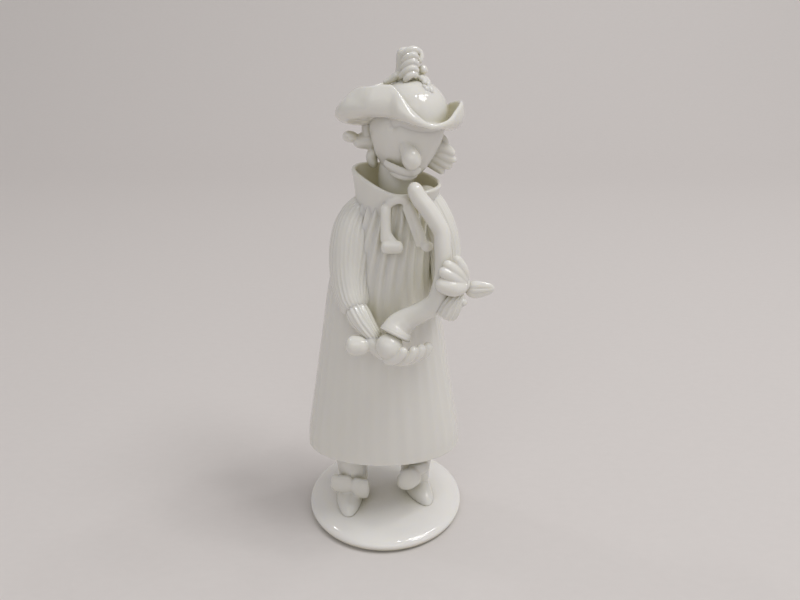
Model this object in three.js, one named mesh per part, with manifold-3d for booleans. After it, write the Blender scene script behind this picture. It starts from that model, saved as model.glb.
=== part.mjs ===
// A hot-worked opal glass figurine: a costumed musician with a horn, standing on a round glass disc.
// Millimetres, +Z up. The origin is the centre of the disc's underside, the figure faces -Y and
// +X is the viewer's right, so the figure's own right arm is on the -X side.
import * as THREE from 'three';
import { mergeVertices } from 'three/addons/utils/BufferGeometryUtils.js';
import Module from 'manifold-3d';

const wasm = await Module();
wasm.setup();

// The disc
const DISC_RADIUS = 55.2;
const DISC_THICKNESS = 10;
const DISC_RIM_RADIUS = 4.6;
// The top rolls off over a wide band to the rim
const DISC_TOP_ROLL = { width: 15, height: 5.4 };
const DISC_SIDES = 40;

// The coat: height, half width, half depth, centre x, centre y from the hem up to the shoulder seam
const COAT_STATIONS = [
  [58.6, 52.4, 31.6, -0.4, 0],
  [74, 51.2, 31.2, -0.4, 0],
  [110, 45.2, 29, -0.4, 0],
  [145, 39.6, 27, -0.2, -0.5],
  [180, 34.4, 25.2, 0.8, -1],
  [206, 30.2, 23.2, 4.6, -1.5],
  [224, 27.6, 20.6, 8.2, -2],
  [235, 25.4, 18.4, 9.4, -2],
];
const COAT_WALL = 3;
const COAT_RIBS = 30;
const COAT_RIB_DEPTH_CHEST = 1.3;
const COAT_RIB_DEPTH_HEM = 0.4;
const COAT_RIB_RISE = 0.5;
const HOLLOW_BELOW_HEM = -0.05;
const HOLLOW_SHOULDER = 0.86;
const HOLLOW_TOP = 0.96;
const SHOULDER_THICKENING = 7;

// The collar: a flaring ring above the seam
const COLLAR_CENTRE = [9, -2];
const COLLAR_FOOT = { halfWidth: 24.6, halfDepth: 18.4, height: 231 };
const COLLAR_RIM = { halfWidth: 26.8, halfDepth: 21.6, height: 247.5 };
const COLLAR_WALL = 2.6;
const COLLAR_SIDE_LIFT = 5;
const COLLAR_BACK_LIFT = 1.6;
const COLLAR_NOTCH_DEPTH = 5;
const COLLAR_NOTCH_SPREAD = 0.6;
const COLLAR_FLARE = 1.6;
// In front, the collar's foot dips to run into the neck tie, and beside it rises behind the knot
const COLLAR_DIP = { turn: -2.05, depth: 4.5, spread: 0.4 };
const COLLAR_RISE = { turn: -1.45, depth: -5.5, spread: 0.34 };

// The sleeves: centre x, y, z and radius from shoulder to wrist
const SLEEVE_RIBS = 15;
const SLEEVE_RIB_DEPTH = 0.9;
const RIGHT_SLEEVE = [
  [-2, 0, 231, 8],
  [-11.6, -3, 225, 10.8],
  [-15.6, -6, 217, 13.2],
  [-17.2, -9, 207, 14.4],
  [-18.4, -13, 195, 13.8],
  [-18.4, -19, 184, 12],
  [-16.8, -25, 176, 10],
  [-13.4, -30, 170.5, 7.4],
];
const LEFT_SLEEVE = [
  [19, 0, 238, 9],
  [27, -3, 230, 10.4],
  [33.2, -6, 219, 10.8],
  [37.2, -9, 207, 10.4],
  [38.8, -14, 195, 9.4],
  [39.4, -21, 185, 8.6],
  [40, -29, 178, 7.6],
  [40.6, -35, 176, 6.4],
];

// The ribbed cuffs between sleeve and hand
const CUFF_RIBS = 9;
const CUFF_RIB_DEPTH = 0.8;
const RIGHT_CUFF = [
  [-17.4, -27, 175, 6.6],
  [-13.6, -31.6, 170, 7.4],
  [-8.4, -36.4, 163.6, 6.2],
  [-1.6, -41.6, 156.6, 4.2],
];
const LEFT_CUFF = [
  [46.6, -44.4, 190.6, 4],
  [42.4, -45, 186.2, 6.2],
  [38.8, -44.6, 181.4, 7.4],
  [36.6, -43, 177.2, 7.4],
];

// The horn: a curved glass tube that widens towards its mouth
const HORN = [
  [17.6, -25.6, 249.4, 4.2],
  [21.4, -28, 241.6, 4.8],
  [26.4, -30.4, 235.6, 5],
  [30.8, -33, 229.6, 5],
  [34.4, -35.6, 223.4, 4.9],
  [36.4, -38.4, 216.4, 4.9],
  [37.4, -41, 207.6, 5],
  [36.8, -43, 198.4, 5.1],
  [33.6, -44.4, 188, 5.4],
  [29.4, -44.8, 182.4, 5.8],
  [24, -44.4, 178.4, 6],
  [19, -43.6, 175.2, 6.1],
  [14.8, -43, 172.2, 6.9],
  [10.4, -43.4, 168, 8.6],
  [7.4, -46, 162.6, 10.6],
];
const HORN_MOUTH_EDGE = 0.8;

// The right hand, palm up under the horn's mouth
const PALM_BALL = { centre: [4.8, -48.6, 158.2], radius: 8 };
const PALM = [
  [-9, -38.6, 160, 5],
  [-1, -42, 154, 6.4],
  [6, -45, 152.4, 6.6],
  [13, -46, 152.4, 5.4],
];
const RIGHT_THUMB_ROOT = [[-1, -42, 154.6, 4], [-12, -41.4, 154.4, 3.2]];
const RIGHT_THUMB = { centre: [-13.8, -41.6, 154.7], radii: [8.2, 6.2, 6.2] };
const RIGHT_FINGERS = [
  [[1.1, -50, 150.8, 3.4], [6.9, -53, 152, 3.4], [11, -54.6, 156, 3], [12.9, -54.4, 160.4, 2.5]],
  [[5.1, -48, 149, 3.4], [12.2, -51, 150, 3.5], [17.4, -52.6, 154.2, 3.2], [19.9, -52.4, 160, 2.6]],
  [[10, -45, 148.4, 3.4], [18.3, -48, 149.8, 3.6], [24.4, -49.4, 154.2, 3.3], [27.4, -49, 160, 2.6]],
];

// The left hand, closed round the middle of the horn
const LEFT_PALM = [
  [50, -43, 192, 4],
  [46, -43, 195, 5.6],
  [41, -42, 200, 6],
];
const LEFT_FINGERS = [
  [[48.6, -45, 198, 2.6], [46, -46.6, 205.6, 3.4], [41.4, -46.6, 213.4, 2.6]],
  [[48.4, -46, 197, 2.6], [42.4, -48.4, 204.6, 3.7], [35.2, -48.4, 210.6, 2.8]],
  [[48, -46.8, 196, 2.6], [40.6, -50, 202, 3.8], [32.6, -49.8, 206.8, 3]],
  [[48.6, -46.4, 195, 3], [42, -50.4, 195.8, 5], [36, -51, 197.4, 5], [30.6, -50, 199, 3.6]],
];
const LEFT_THUMB = [
  [48, -43, 191.8, 5],
  [54, -43, 191.6, 5.6],
  [59, -43, 191.8, 4.6],
  [65, -43, 192.2, 2.4],
];
const LEFT_THUMB_FLAT = 0.62;
const LEFT_WRIST_BEAD = [[47.2, -45, 187.8, 3], [45.6, -45.6, 180.6, 3.2]];

// The neck ties: a knot with two tails that end in turned-up feet
const TIE_FLAT = 0.72;
const TIE_KNOT = [[3, -20.6, 234.6, 3.2], [8, -22.4, 237.4, 2.8], [12, -22.6, 238, 2.6], [17, -21.6, 236, 3]];
const LEFT_TAIL = [[3, -21, 236, 3.4], [2.8, -24, 229, 3], [2.9, -26, 221, 3], [3.2, -27.6, 213, 3.4]];
const LEFT_TAIL_FOOT = [[-0.4, -28, 212.2, 4.2], [6, -28.8, 212, 4.4], [13.4, -29.2, 212.6, 3.9]];
const RIGHT_TAIL = [
  [15, -21.4, 236.6, 3.2],
  [19.4, -24.6, 226.6, 3.1],
  [22.4, -26.4, 219, 3],
  [24.2, -27.6, 213, 3.2],
];
const RIGHT_TAIL_FOOT = [[22, -27.6, 213.4, 3.2], [26.4, -28.6, 212.6, 3.8], [30.6, -28.4, 214, 3.2]];

// The neck and the plain egg-shaped head with its applied nose and lip
const LIP_FLAT = 0.8;
const NECK = [[7, -4, 224, 13], [8, -4, 238, 10.4], [9, -3.4, 250, 10.6], [12, -3, 264, 12]];
const HEAD = [
  [12.2, -4.6, 246.6, 7],
  [13, -4, 254, 13.4],
  [13.8, -3, 263, 18.4],
  [14.8, -2, 274, 21.6],
  [15.8, -1, 286, 20.6],
  [16.6, 0, 299, 14],
];
const NOSE = [
  [13.6, -19, 270.6, 3.4],
  [15, -22, 267, 4.4],
  [17.2, -25, 262.8, 5.8],
  [18.2, -25.6, 256.2, 5.8],
];
const LIP = [
  [1.8, -15.2, 258.4, 2.9],
  [5.6, -18.6, 256.4, 3.8],
  [11.6, -20.8, 254, 3.8],
  [18, -21, 253.2, 3.2],
  [23, -18.4, 255, 2.4],
];

// Locks of hair at either side of the head
const LOCK_FLAT = 0.8;
const LEFT_LOCKS = [
  [[0, 5, 265, 6], [-6, 4.6, 267.2, 7.4], [-12.4, 3.6, 266.8, 5.6], [-16.6, 3, 268, 3.6]],
  [[-13, 3, 268, 3.4], [-18.4, 2.6, 269.4, 4.2], [-22.6, 2.6, 269, 3.8]],
  [[-5, 3, 284, 4], [-7.6, 3, 276, 4.6], [-7.4, 3.4, 266, 4.6]],
  [[-2, 3, 262.6, 4.4], [-5.6, 2, 258, 4.4], [-4, 0, 251.4, 3.4]],
];
const RIGHT_LOCKS = [
  [[30, 4, 272, 3.4], [36.6, 3.6, 267.6, 3.4], [40, 3.4, 262.6, 2.6]],
  [[28, 3, 265.6, 4.8], [37, 3, 262, 5], [44.4, 2.6, 257.6, 2.8]],
  [[27, 4, 261.6, 4.8], [36, 3.4, 257, 5], [44, 3, 252.6, 2.8]],
  [[25, 4, 257.6, 4.6], [32.6, 4, 253, 4.6], [39.4, 3.4, 247.6, 2.8]],
];

// The three-cornered hat
const HAT_CENTRE = [14.6, 0, 281];
const HAT_CROWN = { centre: [17.6, -1.5, 283.6], radii: [21, 23, 19] };
// The brim, station by station: the way it points, how low it droops, how far out its fold bulges,
// and the rim's radius and height
const BRIM_STATIONS = [
  [-180, -4.8, 54, 30.4, 12.6],
  [-157, 1, 54, 27.6, 18.4],
  [-135, 5, 42, 27.9, 20.3],
  [-110, 5.5, 33, 23.5, 21.3],
  [-97, 4, 37.5, 25.2, 16.3],
  [-83, 2, 38.5, 28.2, 7.8],
  [-67, 0, 34.6, 30.8, 0.6],
  [-47, -2.4, 32.9, 31.6, 1.2],
  [-25, -5.4, 33.5, 30.4, 6.2],
  [0, -9, 35.5, 31, 9.4],
  [30, -9, 37.5, 31, 6.6],
  [55, -4, 33, 36, 1.5],
  [80, -2, 40, 30, 9],
  [110, -3, 44, 26, 17],
  [145, -7, 53, 27.4, 14.6],
];
const BRIM_INNER_RADIUS = 15;
const BRIM_UNDER_RADIUS = 26;
const BRIM_FOLD_DROOP = 0.65;
const BRIM_FOLD_DROP = 1.5;
const BRIM_WALL = 2.4;

// The looped plume on the crown
const PLUME_LOBES = [
  [[17.4, 1, 297, 11], [15.8, 1, 303, 8.9], [14.8, 1, 309, 6.5], [14.8, 1, 314.6, 6], [15.8, 1, 319, 5.2]],
  [[10.8, -4.6, 303, 2.4], [15, -7, 307.4, 3], [20.4, -5, 306.4, 2.4]],
  [[11.4, -4, 308.6, 2.2], [15.6, -5.6, 311.8, 3.6], [20.4, -4, 310.8, 2.2]],
  [[12, -3, 313.4, 2.2], [16, -4.6, 316.4, 3], [21.4, -2.4, 315.6, 2.2]],
  [[21, 0, 311, 2.6], [25.2, -2, 304, 2.6]],
];

// The legs, the pointed shoes and their ribbon bows, which stand on the disc
const SOLE = DISC_THICKNESS;
const RIGHT_LEG = [[-24.6, 3, 12, 9], [-22.8, 2, 30, 10.4], [-28, 1, 62, 9.6], [-40.2, 0, 118, 6.4]];
const LEFT_LEG = [[23.4, 9, 12, 8.6], [22.8, 8, 30, 10], [27, 4, 62, 9.2], [39.4, 0, 118, 6.4]];
const SHOE_LENGTH = 38;
const SHOE_WIDTH = 19;
const SHOE_HEIGHT = 12.5;
// How much wider and higher than that a shoe is at the heel, and how much it loses towards the toe
const SHOE_TAPER = { heelWidth: 1.12, toeWidth: 0.3, heelHeight: 1.1, toeHeight: 0.35 };
const RIGHT_SHOE = { heel: [-25.8, 13], turn: 1 };
const LEFT_SHOE = { heel: [18, 22.4], turn: 21 };
const BOW_FLAT = 0.5;
const RIGHT_BOW = [
  [[-38.6, -6, 27, 6.4], [-31, -8.6, 26.8, 8], [-22, -9.4, 28, 6.4]],
  [[-24, -9, 28, 5.6], [-16.6, -9.6, 24, 8.2], [-11.2, -8.4, 22.8, 7.4]],
];
const LEFT_BOW = [
  [[10.2, -5, 28.6, 6], [15, -7.8, 28, 9], [25, -6, 33, 7.4]],
  [[17, -4, 33, 5], [24.6, -4.4, 35.2, 5], [32.4, -0.6, 36, 4.6]],
];

// The glass's colour and how rough its skin is
const OPAL_WHITE = 0xf1efeb;
const FIGURE_ROUGHNESS = 0.12;
const DISC_ROUGHNESS = 0.1;

// The figure stands a little in front of the disc's centre. It is parted level at the hips, below
// the hands, where only the coat's wall is cut.
const FIGURE_PLACE = [-0.3, -6, 0];
const HIP_HEIGHT = 140;
const PARTING_GAP = 0.3;

const radians = THREE.MathUtils.degToRad;
const point = ([x, y, z = 0]) => new THREE.Vector3(x, y, z);
const SPLINE_TENSION = 0.5;
const spline = (points, closed = false) =>
  new THREE.CatmullRomCurve3(points.map(point), closed, 'catmullrom', SPLINE_TENSION);

// Moves every vertex of a geometry to the place that a function of its old place gives
function mapped(geometry, place) {
  const position = geometry.getAttribute('position');
  for (let i = 0; i < position.count; i += 1) {
    const moved = place(new THREE.Vector3().fromBufferAttribute(position, i));
    position.setXYZ(i, moved.x, moved.y, moved.z);
  }
  return geometry;
}

function signedVolume(geometry) {
  const position = geometry.getAttribute('position');
  const index = geometry.getIndex();
  const corners = [new THREE.Vector3(), new THREE.Vector3(), new THREE.Vector3()];
  let volume = 0;
  for (let i = 0; i < index.count; i += 3) {
    corners.forEach((corner, k) => corner.fromBufferAttribute(position, index.getX(i + k)));
    volume += corners[0].dot(corners[1].clone().cross(corners[2])) / 6;
  }
  return volume;
}

// A closed geometry as a solid whose faces point out
const MERGE_DISTANCE = 1e-4;
function solid(geometry) {
  geometry.deleteAttribute('normal');
  geometry.deleteAttribute('uv');
  const merged = mergeVertices(geometry, MERGE_DISTANCE);
  const triangles = Uint32Array.from(merged.getIndex().array);
  if (signedVolume(merged) < 0) {
    triangles.reverse();
  }
  const vertices = Float32Array.from(merged.getAttribute('position').array);
  return new wasm.Manifold(new wasm.Mesh({ numProp: 3, vertProperties: vertices, triVerts: triangles }));
}

function fused(solids) {
  return solids.reduce((sum, next) => sum.add(next));
}

function geometryOf(manifold) {
  const mesh = manifold.getMesh();
  const geometry = new THREE.BufferGeometry();
  geometry.setAttribute('position', new THREE.BufferAttribute(mesh.vertProperties, 3));
  geometry.setIndex(new THREE.BufferAttribute(mesh.triVerts, 1));
  return geometry;
}

// A round-ended tube through stations of centre x, y, z and radius. Its section is wide along one
// direction and flatter across it, and ribs run along its length.
function swept(stations, {
  sides = 10, rings = 8, ribs = 0, ribDepth = 0, wide = [1, 0, 0], flat = 1, lastEdge,
} = {}) {
  const centre = spline(stations.map(([x, y, z]) => [x, y, z]));
  const radius = spline(stations.map(([, , , r]) => [r, 0, 0]));
  const length = centre.getLength();
  const firstCap = Math.min(0.5, stations[0][3] / length);
  const lastCap = Math.min(0.5, (lastEdge ?? stations.at(-1)[3]) / length);
  const wideAxis = point(wide);
  return solid(mapped(new THREE.SphereGeometry(1, sides, rings), (v) => {
    const t = (1 - v.y) / 2;
    const angle = Math.atan2(v.z, v.x);
    const fromEnd = Math.min(1, t / firstCap, (1 - t) / lastCap);
    const rounding = Math.sqrt(Math.max(0, 1 - (1 - fromEnd) ** 2));
    const groove = ribDepth * (0.5 - 0.5 * Math.cos(ribs * angle));
    const r = Math.max(0, radius.getPoint(t).x - groove) * rounding;
    const tangent = centre.getTangent(t);
    const across = wideAxis.clone().addScaledVector(tangent, -wideAxis.dot(tangent)).normalize();
    const third = tangent.clone().cross(across);
    return centre.getPoint(t)
      .addScaledVector(across, r * Math.cos(angle))
      .addScaledVector(third, r * flat * Math.sin(angle));
  }));
}

function ball(centre, radii, sides = 10, rings = 7) {
  return solid(mapped(new THREE.SphereGeometry(1, sides, rings), (v) => (
    v.multiply(Array.isArray(radii) ? point(radii) : new THREE.Vector3().setScalar(radii)).add(point(centre))
  )));
}

const coatCentre = spline(COAT_STATIONS.map(([z, , , x, y]) => [x, y, z]));
const coatSize = spline(COAT_STATIONS.map(([, halfWidth, halfDepth]) => [halfWidth, halfDepth]));

// A closed stack of oval rings between two places along the coat, drawn in by an inset
function coatStack(sides, rows, from, to, insetAt) {
  return solid(mapped(new THREE.CylinderGeometry(1, 1, 1, sides, rows), (v) => {
    const t = THREE.MathUtils.lerp(from, to, v.y + 0.5);
    const angle = Math.atan2(v.z, v.x);
    const reach = Math.hypot(v.x, v.z);
    const centre = coatCentre.getPoint(Math.max(0, t));
    const size = coatSize.getPoint(Math.max(0, t));
    const inset = insetAt(t, angle);
    const x = centre.x + reach * (size.x - inset) * Math.cos(angle);
    const y = centre.y + reach * (size.y - inset) * Math.sin(angle);
    const below = Math.min(0, t) * (COAT_STATIONS.at(-1)[0] - COAT_STATIONS[0][0]);
    return new THREE.Vector3(x, y, centre.z + below);
  }));
}

// The outside of the blown coat, ribbed from shoulder to hem
function coatOutside() {
  return coatStack(COAT_RIBS * 2, 5, 0, 1, (t, angle) => {
    const depth = THREE.MathUtils.lerp(COAT_RIB_DEPTH_HEM, COAT_RIB_DEPTH_CHEST, t ** COAT_RIB_RISE);
    return depth * (0.5 - 0.5 * Math.cos(COAT_RIBS * angle));
  });
}

// The empty inside of the coat, which runs out through the hem
function coatHollow() {
  return coatStack(28, 5, HOLLOW_BELOW_HEM, HOLLOW_TOP, (t) => {
    const shoulder = THREE.MathUtils.smoothstep(t, HOLLOW_SHOULDER, HOLLOW_TOP);
    return COAT_WALL + SHOULDER_THICKENING * shoulder ** 2;
  });
}

// A closed ring whose section runs up one side of a wall and down the other. The place function
// gets the turn round the axis, the way along the wall from 0 to 1, and the side from 0 to 1.
function ringWall(sides, steps, place) {
  const section = [];
  for (let i = 0; i <= steps; i += 1) {
    section.push(new THREE.Vector2(2, i / steps));
  }
  for (let i = steps; i >= 0; i -= 1) {
    section.push(new THREE.Vector2(1, i / steps));
  }
  section.push(section[0].clone());
  return solid(mapped(new THREE.LatheGeometry(section, sides), (v) => (
    place(Math.atan2(v.z, v.x), v.y, Math.hypot(v.x, v.z) - 1)
  )));
}

// The collar's rim stands higher on the figure's right and dips to a notch in front
function collarRimHeight(angle) {
  const fromFront = Math.atan2(Math.sin(angle + Math.PI / 2), Math.cos(angle + Math.PI / 2));
  const notch = COLLAR_NOTCH_DEPTH * Math.exp(-((fromFront / COLLAR_NOTCH_SPREAD) ** 2));
  return COLLAR_RIM.height - COLLAR_SIDE_LIFT * Math.cos(angle) + COLLAR_BACK_LIFT * Math.sin(angle) - notch;
}

function collar() {
  return ringWall(28, 2, (angle, way, side) => {
    const flare = way ** COLLAR_FLARE;
    const inset = COLLAR_WALL * (1 - side);
    const halfWidth = THREE.MathUtils.lerp(COLLAR_FOOT.halfWidth, COLLAR_RIM.halfWidth, flare) - inset;
    const halfDepth = THREE.MathUtils.lerp(COLLAR_FOOT.halfDepth, COLLAR_RIM.halfDepth, flare) - inset;
    const dip = [COLLAR_DIP, COLLAR_RISE].reduce((sum, { turn, depth, spread }) => (
      sum + depth * Math.exp(-(((angle - turn) / spread) ** 2))
    ), 0);
    const height = THREE.MathUtils.lerp(COLLAR_FOOT.height - dip, collarRimHeight(angle), way);
    const x = COLLAR_CENTRE[0] + halfWidth * Math.cos(angle);
    const y = COLLAR_CENTRE[1] + halfDepth * Math.sin(angle);
    return new THREE.Vector3(x, y, height);
  });
}

const brimFold = spline(BRIM_STATIONS.map(([, droop, bulge]) => [bulge, droop]), true);
const brimRim = spline(BRIM_STATIONS.map(([, , , radius, height]) => [radius, height]), true);

// The way round the brim's closed splines, from 0 to 1, that points at an angle
function brimWay(angle) {
  const turn = THREE.MathUtils.radToDeg(angle);
  const ends = [...BRIM_STATIONS.map(([degrees]) => degrees), BRIM_STATIONS[0][0] + 360];
  const index = Math.min(BRIM_STATIONS.length, ends.findIndex((degrees) => degrees > turn) || 1) - 1;
  const step = (turn - ends[index]) / (ends[index + 1] - ends[index]);
  return Math.min(1, (index + step) / BRIM_STATIONS.length);
}

// The brim leaves the crown, droops, folds outwards and turns up to a thin rim
function brim() {
  return ringWall(36, 4, (angle, way, side) => {
    const fold = brimFold.getPoint(brimWay(angle));
    const rim = brimRim.getPoint(brimWay(angle));
    const section = new THREE.CubicBezierCurve(
      new THREE.Vector2(BRIM_INNER_RADIUS, fold.y / 2),
      new THREE.Vector2(BRIM_UNDER_RADIUS, fold.y),
      new THREE.Vector2(fold.x, fold.y * BRIM_FOLD_DROOP - BRIM_FOLD_DROP),
      new THREE.Vector2(rim.x, rim.y),
    );
    const along = section.getPoint(way);
    const tangent = section.getTangent(way);
    const out = along.x + tangent.y * BRIM_WALL * (side - 0.5);
    const up = along.y - tangent.x * BRIM_WALL * (side - 0.5);
    return new THREE.Vector3(out * Math.cos(angle), out * Math.sin(angle), up).add(point(HAT_CENTRE));
  });
}

function hat() {
  return fused([ball(HAT_CROWN.centre, HAT_CROWN.radii, 16, 8), brim()]);
}

function plume() {
  return fused(PLUME_LOBES.map((lobe) => swept(lobe, { sides: 6, rings: 5, wide: [0, 1, 0] })));
}

function hair() {
  return fused([...LEFT_LOCKS, ...RIGHT_LOCKS].map((lock) => (
    swept(lock, { sides: 6, rings: 4, wide: [0, 1, 0], flat: LOCK_FLAT })
  )));
}

function head() {
  return fused([
    swept(NECK, { sides: 12, rings: 4 }),
    swept(HEAD, { sides: 16, rings: 9 }),
    swept(NOSE, { sides: 8, rings: 6 }),
    swept(LIP, { sides: 7, rings: 6, wide: [0, 0, 1], flat: LIP_FLAT }),
  ]);
}

function arms() {
  const sleeve = { sides: SLEEVE_RIBS * 2, rings: 6, ribs: SLEEVE_RIBS, ribDepth: SLEEVE_RIB_DEPTH };
  const cuff = { sides: CUFF_RIBS * 2, rings: 4, ribs: CUFF_RIBS, ribDepth: CUFF_RIB_DEPTH };
  return fused([
    swept(RIGHT_SLEEVE, sleeve),
    swept(LEFT_SLEEVE, sleeve),
    swept(RIGHT_CUFF, cuff),
    swept(LEFT_CUFF, cuff),
  ]);
}

function hands() {
  const finger = { sides: 6, rings: 5, wide: [0, 1, 0] };
  return fused([
    ball(PALM_BALL.centre, PALM_BALL.radius),
    swept(PALM, { sides: 8, rings: 5, wide: [0, 1, 0] }),
    swept(RIGHT_THUMB_ROOT, { sides: 6, rings: 4, wide: [0, 1, 0] }),
    ball(RIGHT_THUMB.centre, RIGHT_THUMB.radii),
    ...RIGHT_FINGERS.map((line) => swept(line, finger)),
    swept(LEFT_PALM, { sides: 8, rings: 5, wide: [0, 1, 0] }),
    ...LEFT_FINGERS.map((line) => swept(line, finger)),
    swept(LEFT_THUMB, { sides: 8, rings: 5, wide: [0, 0, 1], flat: LEFT_THUMB_FLAT }),
    swept(LEFT_WRIST_BEAD, { sides: 7, rings: 4 }),
  ]);
}

function ties() {
  const tail = { sides: 7, rings: 6, flat: TIE_FLAT };
  const foot = { sides: 7, rings: 5, wide: [0, 0, 1], flat: TIE_FLAT };
  return fused([
    swept(TIE_KNOT, { sides: 7, rings: 5, wide: [0, 0, 1], flat: TIE_FLAT }),
    swept(LEFT_TAIL, tail),
    swept(LEFT_TAIL_FOOT, foot),
    swept(RIGHT_TAIL, tail),
    swept(RIGHT_TAIL_FOOT, foot),
  ]);
}

// A pointed shoe: an egg drawn out towards the toe, cut flat by the disc's top
function shoe({ heel, turn }) {
  const forward = new THREE.Vector3(0, -1, 0).applyAxisAngle(new THREE.Vector3(0, 0, 1), radians(turn));
  const across = new THREE.Vector3(-forward.y, forward.x, 0);
  return solid(mapped(new THREE.SphereGeometry(1, 10, 7), (v) => {
    const along = (1 - v.y) / 2;
    const width = (SHOE_WIDTH / 2) * (SHOE_TAPER.heelWidth - SHOE_TAPER.toeWidth * along);
    const height = SHOE_HEIGHT * (SHOE_TAPER.heelHeight - SHOE_TAPER.toeHeight * along);
    return new THREE.Vector3(heel[0], heel[1], SOLE)
      .addScaledVector(forward, SHOE_LENGTH * along)
      .addScaledVector(across, -width * v.x)
      .add(new THREE.Vector3(0, 0, height * v.z));
  }));
}

function legs() {
  const bow = { sides: 6, rings: 4, wide: [0, 0, 1], flat: BOW_FLAT };
  const standing = fused([
    swept(RIGHT_LEG, { sides: 10, rings: 6 }),
    swept(LEFT_LEG, { sides: 10, rings: 6 }),
    shoe(RIGHT_SHOE),
    shoe(LEFT_SHOE),
    ...[...RIGHT_BOW, ...LEFT_BOW].map((loop) => swept(loop, bow)),
  ]);
  return standing.trimByPlane([0, 0, 1], SOLE);
}

function baseDisc() {
  const outline = new THREE.Path();
  const inner = DISC_RADIUS - DISC_RIM_RADIUS;
  outline.moveTo(0, 0);
  outline.lineTo(inner, 0);
  outline.absarc(inner, DISC_RIM_RADIUS, DISC_RIM_RADIUS, -Math.PI / 2, 0, false);
  const { width, height } = DISC_TOP_ROLL;
  outline.absellipse(DISC_RADIUS - width, DISC_THICKNESS - height, width, height, 0, Math.PI / 2, false, 0);
  outline.lineTo(0, DISC_THICKNESS);
  return solid(new THREE.LatheGeometry(outline.getPoints(1), DISC_SIDES).rotateX(Math.PI / 2));
}

function piece(name, manifold, roughness) {
  const material = new THREE.MeshStandardMaterial({ color: OPAL_WHITE, roughness, metalness: 0 });
  const mesh = new THREE.Mesh(geometryOf(manifold), material);
  mesh.name = name;
  return mesh;
}

// Everything outside the coat's wall is fused first, then the hollow is cleared, then the legs go in
function figure() {
  const horn = swept(HORN, { sides: 9, rings: 14, wide: [0, 1, 0], lastEdge: HORN_MOUTH_EDGE });
  return fused([coatOutside(), collar(), arms(), hands(), horn, ties(), head(), hair(), hat(), plume()])
    .subtract(coatHollow())
    .add(legs());
}

const whole = figure();
const upper = whole.trimByPlane([0, 0, 1], HIP_HEIGHT + PARTING_GAP / 2);
const lower = whole.trimByPlane([0, 0, -1], PARTING_GAP / 2 - HIP_HEIGHT);

const figurine = new THREE.Group();
figurine.add(piece('base_disc', baseDisc(), DISC_ROUGHNESS));
const halves = [
  piece('lower_figure', lower, FIGURE_ROUGHNESS),
  piece('upper_figure', upper, FIGURE_ROUGHNESS),
];
halves.forEach((half) => {
  half.position.set(...FIGURE_PLACE);
  figurine.add(half);
});

export default figurine;
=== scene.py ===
"""An opal glass figurine of a costumed horn player: the finished surface of every piece of glass.

Sizes are millimetres until a piece becomes a mesh, and places are measured from the figure's own axis.
The backdrop, lights and camera are in metres. The figure faces -Y, and +X is the viewer's right.
"""
import math

import bpy
import numpy as np
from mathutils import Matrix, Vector


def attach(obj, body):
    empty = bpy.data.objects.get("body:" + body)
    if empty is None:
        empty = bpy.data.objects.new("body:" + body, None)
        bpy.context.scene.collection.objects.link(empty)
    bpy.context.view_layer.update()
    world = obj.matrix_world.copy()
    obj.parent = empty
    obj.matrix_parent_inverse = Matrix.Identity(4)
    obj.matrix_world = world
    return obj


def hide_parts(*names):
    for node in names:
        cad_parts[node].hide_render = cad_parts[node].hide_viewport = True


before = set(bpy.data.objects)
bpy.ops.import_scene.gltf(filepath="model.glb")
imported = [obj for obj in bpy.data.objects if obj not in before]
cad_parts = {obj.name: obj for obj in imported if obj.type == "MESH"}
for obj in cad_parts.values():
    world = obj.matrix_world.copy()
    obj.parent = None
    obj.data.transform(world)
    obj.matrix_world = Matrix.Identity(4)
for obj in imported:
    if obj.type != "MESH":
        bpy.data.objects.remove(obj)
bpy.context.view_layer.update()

MM = 0.001
# Where the figure's own axis stands on the disc
FIGURE_PLACE = np.array([-0.3, -6.0, 0.0])

# The round disc, rounded at its foot, with a wide band where its top rolls off
DISC_RADIUS = 55.2
DISC_THICKNESS = 10.0
DISC_EDGE_RADIUS = 4.6
DISC_TOP_ROLL = 15.0
DISC_SIDES = 160

# The blown coat: height, half width, half depth, centre x, centre y, from the hem to the shoulder seam
COAT = [
    [58.6, 52.4, 31.6, -0.4, 0], [74, 51.2, 31.2, -0.4, 0], [110, 45.2, 29, -0.4, 0],
    [145, 39.6, 27, -0.2, -0.5], [180, 34.4, 25.2, 0.8, -1], [206, 30.2, 23.2, 4.6, -1.5],
    [224, 27.6, 20.6, 8.2, -2], [235, 25.4, 18.4, 9.4, -2],
]
COAT_RIBS = 30
COAT_WALL = 3.0
COAT_SIDES = 480
COAT_ROWS_OUTSIDE = 90
COAT_ROWS_INSIDE = 24
# The ribs deepen over a stretch of the way up the coat, and are stronger on one side
COAT_RIB_DEPTH_HEM = 0.22
COAT_RIB_DEPTH_CHEST = 1.5
RIBS_DEEPEN_FROM = 0.4
RIBS_DEEPEN_OVER = 0.5
RIB_STRENGTH = 0.9
RIB_STRENGTH_SWING = 0.5
RIB_STRENGTH_TURN = 1.1
# Shares of the way up the coat: where the hem's edge turns in, where the hollow's wall starts to
# thicken at the shoulder and over what length, and where the hollow ends
HEM_EDGE = 0.012
HOLLOW_SHOULDER = 0.86
HOLLOW_SHOULDER_LENGTH = 0.1
HOLLOW_TOP = 0.96
# How much the wall thickens at the shoulder, and how much is added all over for the ribs' depth
SHOULDER_THICKENING = 7
RIB_ALLOWANCE = 0.4
# The unevenness of handwork: each wave's size, its turns round and along the piece, and its start
COAT_SWELL = [(0.5, 2, 7, 0), (0.35, 3, -11, 1)]
COAT_RIB_WANDER = [(0.5, 3, 4, 0), (0.35, 7, -6, 1), (0.25, 11, 9, 0)]
COAT_RIB_UNEVENNESS = [(0.25, 5, 3, 2), (0.2, 8, -5, 0)]

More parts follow.
